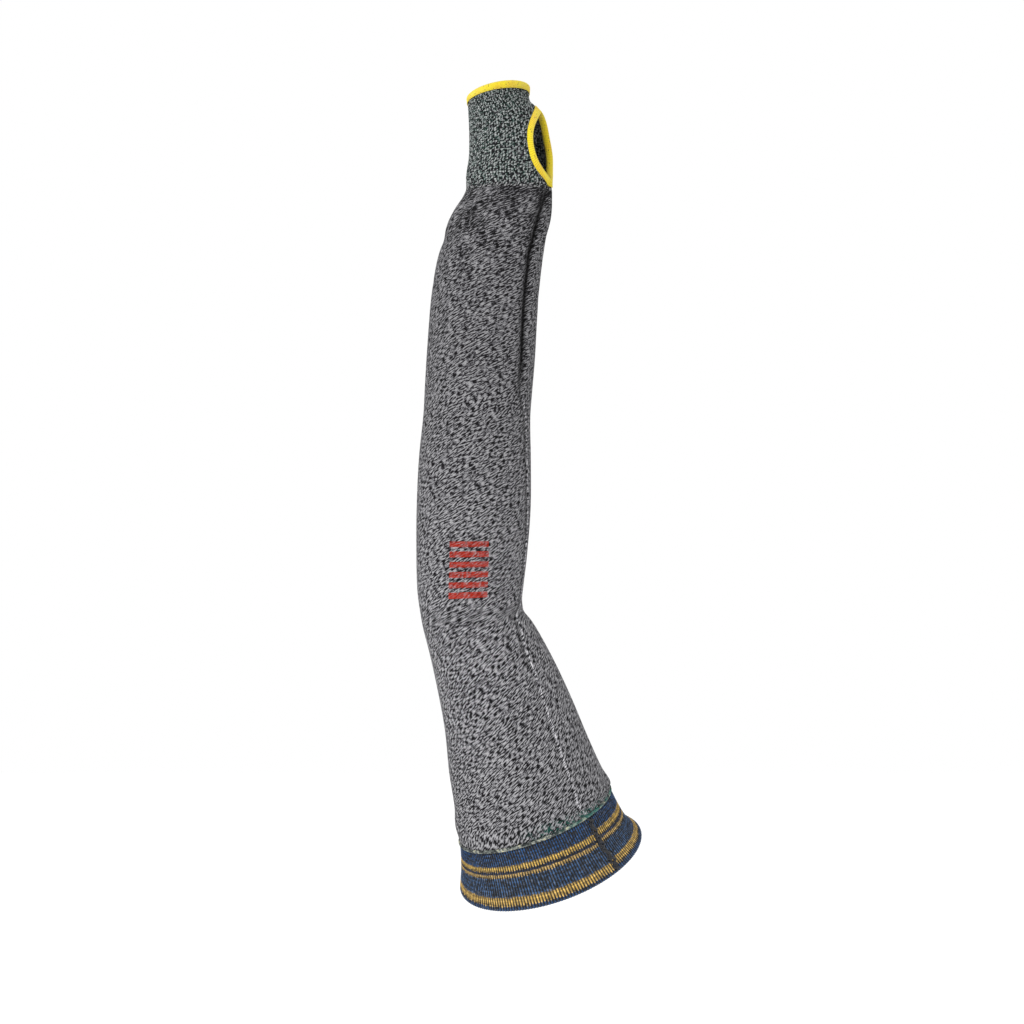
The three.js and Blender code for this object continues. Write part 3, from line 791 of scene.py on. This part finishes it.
def link_yarn():
    """Pale flecked linking yarn, greener towards the thumb side."""
    shader = Shader("link_yarn", 0.85, 0.2)
    place = shader.node("ShaderNodeTexCoord", {}, {}).outputs["Object"]
    side = shader.node("ShaderNodeSeparateXYZ", {}, {0: place}).outputs[0]
    flecks = shader.noise(place, 330.0, 2.0)
    pale = shader.ramp(flecks, LINK_TONES)
    hue = shader.noise(place, 170.0, 1.0)
    greener = shader.times(shader.rescale(side, 0.0, 0.03), shader.rescale(hue, 0.4, 0.55, 0.1, 0.85))
    colour = shader.mix(greener, pale, LINK_GREEN)
    return shader.finish(colour, flecks, 0.3)


def make_body():
    angles = crowded_turn(BODY_COLUMNS, BODY_CROWDING)
    outline = wall_outline(BAND_END, BODY_END - PIECE_GAP, BODY_ROWS, 0, -BODY_WALL, BODY_INNER_ROWS)
    points = skin(outline[:, :1], angles[None, :-1], outline[:, 1:])
    knit = (arc_from_seam(points) / BODY_WALE, outline[:, 0] / BODY_COURSE)
    mesh = grid_mesh("sleeve_body_knit", points, knit, BODY_ROWS, sideways=True)
    return add_piece("sleeve_body_knit", mesh, body_knit(), "body_knit", "sleeve_body")


def rib_relief(angles, outline, wales, depth):
    """Rounded ribs on the outer face of a wall, with shallow ones on its inner face."""
    side = np.where(outline[:, 1:] >= outline[:, 1:].max(), 1.0, -0.4)
    return side * depth * (np.abs(np.sin(angles[None, :] * wales / 2)) - 1)


def make_cuff():
    angles = crowded_turn(CUFF_WALES * CUFF_RIB_POINTS)
    outline = wall_outline(BODY_END, CUFF_TOP, CUFF_ROWS, 0, -CUFF_WALL, CUFF_INNER_ROWS)
    relief = rib_relief(angles[:-1], outline, CUFF_WALES, CUFF_RIB)
    points = skin(outline[:, :1], angles[None, :-1], outline[:, 1:] + relief)
    knit = (angles / (2 * math.pi) * CUFF_WALES, (outline[:, 0] - BODY_END) / CUFF_COURSE)
    mesh = grid_mesh("wrist_cuff_knit", points, knit, CUFF_ROWS)
    cuff = add_piece("wrist_cuff_knit", mesh, cuff_knit(), "cuff_knit", "wrist_cuff")
    cut_thumb_hole(cuff)
    return cuff


def cut_thumb_hole(cuff):
    """Cuts the thumb hole with a plug that runs well past both faces of the cuff."""
    count = 96
    turn = np.linspace(0, 2 * math.pi, count, endpoint=False)
    faces_of_wall = (4.0, -CUFF_WALL - 4.0)
    middle = hole_angle(THUMB_HOLE_WIDTH * (THUMB_HOLE_FRONT - 0.5))
    rings = [hole_points(turn, 0, outward) for outward in faces_of_wall]
    middles = [skin(HOLE_CENTRE, middle, outward) for outward in faces_of_wall]
    points = np.vstack([*rings, *middles])
    faces = []
    for index in range(count):
        beside = (index + 1) % count
        faces.append((index, beside, 2 * count))
        faces.append((count + beside, count + index, 2 * count + 1))
        faces.append((beside, index, count + index, count + beside))
    mesh = bpy.data.meshes.new("thumb_plug")
    mesh.from_pydata((points * MM).tolist(), [], faces)
    plug = bpy.data.objects.new("thumb_plug", mesh)
    bpy.context.scene.collection.objects.link(plug)
    cut = cuff.modifiers.new("thumb_hole", "BOOLEAN")
    cut.operation = "DIFFERENCE"
    cut.solver = "EXACT"
    cut.object = plug
    graph = bpy.context.evaluated_depsgraph_get()
    cuff.data = bpy.data.meshes.new_from_object(cuff.evaluated_get(graph))
    cuff.modifiers.clear()
    bpy.data.objects.remove(plug)


def wrap_relief(count, steps):
    """Shallow slanted grooves between the wraps of a binding. The slot in it stays plain."""
    wraps = np.arange(count)[None, :] / WRAP_POINTS + np.arange(steps)[:, None] * WRAP_SLANT
    relief = -WRAP_DEPTH * (1 - np.abs(np.sin(math.pi * wraps)) ** 0.5)
    relief[-SLOT_POINTS:] = 0
    return relief


def outline_run(outline):
    """How far each point of an outline lies along it."""
    return np.concatenate([[0], np.cumsum(np.linalg.norm(np.diff(outline, axis=0), axis=1))])


def make_wrist_binding():
    girth = math.pi * (section("wide", CUFF_TOP) + section("deep", CUFF_TOP)) / 2
    wraps = round(float(girth) / WRAP_PITCH)
    angles = crowded_turn(wraps * WRAP_POINTS)
    reach = UNDER_WRIST_BINDING + WRIST_BINDING_MORE
    outline = roll_outline(reach, CUFF_WALL, ROLL_STEPS, 2 * BINDING_COVER)
    relief = wrap_relief(wraps * WRAP_POINTS, len(outline))
    points = skin(CUFF_TOP - outline[:, :1], angles[None, :-1], outline[:, 1:] + relief)
    knit = (np.linspace(0, wraps, wraps * WRAP_POINTS + 1), outline_run(outline))
    mesh = grid_mesh("wrist_binding_yarn", points, knit, ROLL_STEPS, 3)
    add_piece("wrist_binding_yarn", mesh, BINDING_YARN, "binding_yarn", "wrist_binding")


def make_thumb_binding():
    wraps = round((THUMB_HOLE_LENGTH + THUMB_HOLE_WIDTH) * HOLE_EDGE_SHARE / WRAP_PITCH)
    turn = np.linspace(0, -2 * math.pi, wraps * WRAP_POINTS + 1)
    outline = roll_outline(UNDER_THUMB_BINDING, CUFF_WALL, ROLL_STEPS, BINDING_COVER)
    relief = wrap_relief(wraps * WRAP_POINTS, len(outline))
    points = hole_points(turn[None, :-1], outline[:, :1], outline[:, 1:] + relief)
    knit = (np.linspace(0, wraps, wraps * WRAP_POINTS + 1), outline_run(outline))
    mesh = grid_mesh("thumb_binding_yarn", points, knit, ROLL_STEPS, 3)
    add_piece("thumb_binding_yarn", mesh, BINDING_YARN, "binding_yarn", "thumb_binding")


def make_arm_band():
    angles = crowded_turn(BAND_WALES * BAND_RIB_POINTS)
    top = BAND_END - LINK_LENGTH - CLEARANCE
    outline = wall_outline(0, top, BAND_ROWS, 0, -BAND_WALL, BAND_INNER_ROWS)
    relief = rib_relief(angles[:-1], outline, BAND_WALES, BAND_RIB)
    points = skin(outline[:, :1], angles[None, :-1], outline[:, 1:] + relief)
    knit = (angles / (2 * math.pi) * BAND_WALES, outline[:, 0] / top)
    mesh = grid_mesh("arm_band_knit", points, knit, BAND_ROWS, 2)
    return add_piece("arm_band_knit", mesh, band_knit(), "band_knit", "arm_band")


def thread_points(path, radius, sides=6):
    """A closed, round-ended thread along a path of points, as rings of points."""
    path = np.asarray(path, float)
    run = np.gradient(path, axis=0)
    run /= np.linalg.norm(run, axis=1)[:, None]
    aside = np.cross(run, [0.31, 0.17, 0.94])
    aside /= np.linalg.norm(aside, axis=1)[:, None]
    up = np.cross(run, aside)
    turn = np.linspace(0, 2 * math.pi, sides, endpoint=False)
    share = np.linspace(-1, 1, len(path))
    swell = radius * np.sqrt(np.clip(1 - share ** 8, 0.05, 1))
    around = aside[:, None, :] * np.cos(turn)[None, :, None] + up[:, None, :] * np.sin(turn)[None, :, None]
    return path[:, None, :] + around * swell[:, None, None]


def threads_mesh(name, paths, radius, sides=6):
    """Many separate threads in one mesh."""
    points, faces = [], []
    for path in paths:
        rings = thread_points(path, radius, sides)
        start = len(points)
        rows = len(rings)
        points += rings.reshape(-1, 3).tolist()
        for row in range(rows - 1):
            for side in range(sides):
                beside = (side + 1) % sides
                low, high = start + row * sides, start + (row + 1) * sides
                faces.append((low + side, low + beside, high + beside, high + side))
        faces.append(tuple(start + side for side in reversed(range(sides))))
        faces.append(tuple(start + (rows - 1) * sides + side for side in range(sides)))
    mesh = bpy.data.meshes.new(name)
    mesh.from_pydata((np.array(points) * MM).tolist(), [], faces)
    mesh.polygons.foreach_set("use_smooth", [True] * len(mesh.polygons))
    return mesh


def make_link_stitches():
    """Slanted linking stitches all round, over the edge where the body meets the band."""
    share = np.linspace(0, 1, 6)
    middle = BAND_END - LINK_LENGTH / 2
    kept = np.random.default_rng(3).random(LINK_STITCHES) > LINK_HIDDEN
    paths = []
    for number in np.flatnonzero(kept):
        angle = 2 * math.pi * (number + share * LINK_SLANT) / LINK_STITCHES
        along = middle + LINK_LENGTH * LINK_REACH * (share - 0.5) * (1 if number % 2 else LINK_SHORT)
        paths.append(skin(along, angle, LINK_FOOT + LINK_ARCH * np.sin(math.pi * share)))
    mesh = threads_mesh("link_stitches", paths, LINK_YARN_RADIUS)
    add_piece("link_stitches", mesh, LINK_YARN, "link_yarn")


def make_band_link():
    """The strip of knit under the linking stitches."""
    angles = crowded_turn(LINK_COLUMNS)
    start, end = BAND_END - LINK_LENGTH, BAND_END - CLEARANCE
    outline = wall_outline(start, end, LINK_ROWS, 0, -BAND_WALL, LINK_INNER_ROWS)
    points = skin(outline[:, :1], angles[None, :-1], outline[:, 1:])
    knit = (arc_from_seam(points) / BODY_WALE, outline[:, 0] / BODY_COURSE)
    mesh = grid_mesh("band_link_knit", points, knit, LINK_ROWS, 2)
    add_piece("band_link_knit", mesh, LINK_YARN, "link_yarn", "band_link")


def make_band_seam():
    """The dark zigzag that closes the band into a ring."""
    top = BAND_END - LINK_LENGTH
    draw = np.random.default_rng(7)
    corner = np.arange(ZIGZAG_TURNS + 1)
    place = np.linspace(0, ZIGZAG_TURNS, ZIGZAG_TURNS * 6 + 1)
    paths = []
    for first in (1, -1, 1):
        reach = first * np.where(corner % 2, 1.0, -1.0) * draw.uniform(*ZIGZAG_REACH, len(corner))
        rises = (corner + draw.uniform(-ZIGZAG_UNEVEN, ZIGZAG_UNEVEN, len(corner))) / ZIGZAG_TURNS
        share = np.clip(np.interp(place, corner, rises), 0, 1)
        zigzag = np.interp(place, corner, reach)
        half = section("wide", share * top) / 2
        along = ZIGZAG_START + share * (top - ZIGZAG_SHORT)
        paths.append(skin(along, zigzag / half, ZIGZAG_HEIGHT + ZIGZAG_STACK * first))
    mesh = threads_mesh("band_seam", paths, ZIGZAG_YARN_RADIUS)
    add_piece("band_seam", mesh, seam_yarn(), "band_knit")


def make_floor():
    """A pale floor below the sleeve, which glows faintly and so lights the sleeve from below too."""
    half, low = 4.0, -0.32
    mesh = bpy.data.meshes.new("floor")
    corners = [(-half, -half, low), (half, -half, low), (half, half, low), (-half, half, low)]
    mesh.from_pydata(corners, [], [(0, 1, 2, 3)])
    floor = bpy.data.objects.new("floor", mesh)
    bpy.context.scene.collection.objects.link(floor)
    material = bpy.data.materials.new("glowing_floor_paper")
    material.use_nodes = True
    surface = material.node_tree.nodes["Principled BSDF"]
    surface.inputs["Base Color"].default_value = (0.99, 0.99, 0.99, 1.0)
    surface.inputs["Roughness"].default_value = 0.9
    # Painted light: a faint glow from the floor, which is no lamp
    surface.inputs["Emission Color"].default_value = (1.0, 1.0, 1.0, 1.0)
    surface.inputs["Emission Strength"].default_value = 0.08
    floor.data.materials.append(material)


def add_light(name, place, target, size, power):
    lamp = bpy.data.lights.new(name, "AREA")
    lamp.size = size
    lamp.energy = power
    light = bpy.data.objects.new(name, lamp)
    light.location = place
    toward = np.array(target) - np.array(place)
    pitch = math.atan2(math.hypot(toward[0], toward[1]), -toward[2])
    light.rotation_euler = (pitch, 0, math.atan2(-toward[0], toward[1]))
    bpy.context.scene.collection.objects.link(light)


def light_scene():
    world = bpy.data.worlds.new("studio")
    bpy.context.scene.world = world
    world.use_nodes = True
    background = world.node_tree.nodes["Background"]
    background.inputs["Color"].default_value = (1.0, 1.0, 1.0, 1.0)
    background.inputs["Strength"].default_value = 1.0
    middle = (-0.03, -0.05, 0.25)
    add_light("key", (-1.1, -1.8, 1.2), middle, 1.0, 30)
    add_light("fill", (1.5, -1.6, 0.5), middle, 1.4, 0.5)
    bpy.context.scene.view_settings.view_transform = "Standard"


def add_camera():
    """Level, straight on and 1.9 m in front of the sleeve, where a pixel of the photo is 0.69 mm."""
    distance, pixel, frame_width = 1.9, 0.69 * MM, 1024
    camera = bpy.data.cameras.new("camera")
    camera.sensor_width = 36.0
    camera.lens = camera.sensor_width * distance / (frame_width * pixel)
    eye = bpy.data.objects.new("camera", camera)
    eye.location = (-0.0275, -0.045 - distance, 0.2458)
    eye.rotation_euler = (math.pi / 2, 0, 0)
    bpy.context.scene.collection.objects.link(eye)
    bpy.context.scene.camera = eye


BINDING_YARN = binding_yarn()
LINK_YARN = link_yarn()

body = make_body()
cuff = make_cuff()
make_wrist_binding()
make_thumb_binding()
make_link_stitches()
make_band_link()
band = make_arm_band()
make_band_seam()
make_floor()
light_scene()
add_camera()
